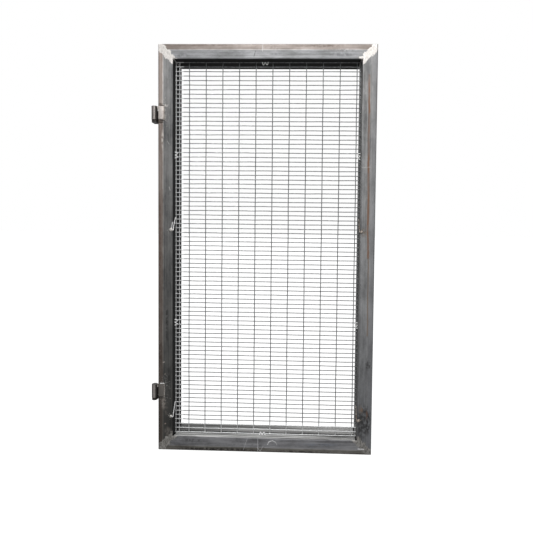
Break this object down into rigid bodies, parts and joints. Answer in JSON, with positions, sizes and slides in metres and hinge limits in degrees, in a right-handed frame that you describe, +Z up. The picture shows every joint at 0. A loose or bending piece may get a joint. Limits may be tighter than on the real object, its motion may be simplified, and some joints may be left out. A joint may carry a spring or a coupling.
{
  "type": "garden gate",
  "caption": "Garden gate leaf: mitred box-section steel frame, galvanised welded-mesh infill and lift-off hinges with their post halves.",
  "frame": {"origin": "centre of the underside of the bottom rail, at mid depth of the frame tube", "axes": "+Z up along the stiles, -Y towards the front of the gate where the hinges show, -X towards the hinges and the post"},
  "size_m": [1.0273, 0.1565, 1.885],
  "materials": {
    "frame_steel": "uncoated mild steel tube, blue-grey mill scale with light rust along the tube seam",
    "ground_weld": "butt weld ground flush and bright",
    "galvanised_wire": "galvanised welded mesh, dull zinc",
    "bright_wire": "bright zinc-plated wire",
    "hinge_steel": "uncoated turned and cropped mild steel",
    "hinge_weld": "as-laid weld bead with heat tint",
    "hinge_pin_steel": "turned steel pin",
    "washer_brass": "brass thrust washer"
  },
  "bodies": {
    "post_side": {"upper_post_plate": "hinge_steel", "upper_post_seat": "hinge_steel", "upper_post_seat_weld": "hinge_weld", "upper_thrust_washer": "washer_brass", "upper_pin": "hinge_pin_steel", "lower_post_plate": "hinge_steel", "lower_post_seat": "hinge_steel", "lower_post_seat_weld": "hinge_weld", "lower_thrust_washer": "washer_brass", "lower_pin": "hinge_pin_steel"},
    "leaf": {"hinge_stile": "frame_steel", "latch_stile": "frame_steel", "top_rail": "frame_steel", "bottom_rail": "frame_steel", "corner_weld_top_hinge_side": "ground_weld", "corner_weld_top_latch_side": "ground_weld", "corner_weld_bottom_hinge_side": "ground_weld", "corner_weld_bottom_latch_side": "ground_weld", "mesh_panel": "galvanised_wire", "mesh_clip_hinge_side_upper": "bright_wire", "mesh_clip_hinge_side_lower": "bright_wire", "mesh_clip_latch_side_upper": "bright_wire", "mesh_clip_latch_side_lower": "bright_wire", "mesh_clip_top": "bright_wire", "mesh_clip_bottom": "bright_wire", "mesh_tie_hinge_side_upper": "bright_wire", "mesh_tie_hinge_side_lower": "bright_wire", "mesh_tie_latch_side_upper": "bright_wire", "mesh_tie_latch_side_lower": "bright_wire", "upper_leaf_barrel": "hinge_steel", "upper_leaf_flag": "hinge_steel", "upper_leaf_flag_weld": "hinge_weld", "upper_leaf_barrel_weld": "hinge_weld", "lower_leaf_barrel": "hinge_steel", "lower_leaf_flag": "hinge_steel", "lower_leaf_flag_weld": "hinge_weld", "lower_leaf_barrel_weld": "hinge_weld"}
  },
  "joints": [
    {"name": "gate_swing", "type": "hinge", "parent": "post_side", "child": "leaf", "pos_m": [-0.5138, -0.073, 1], "axis": [0, 0, -1], "range_deg": [0, 175]}
  ]
}
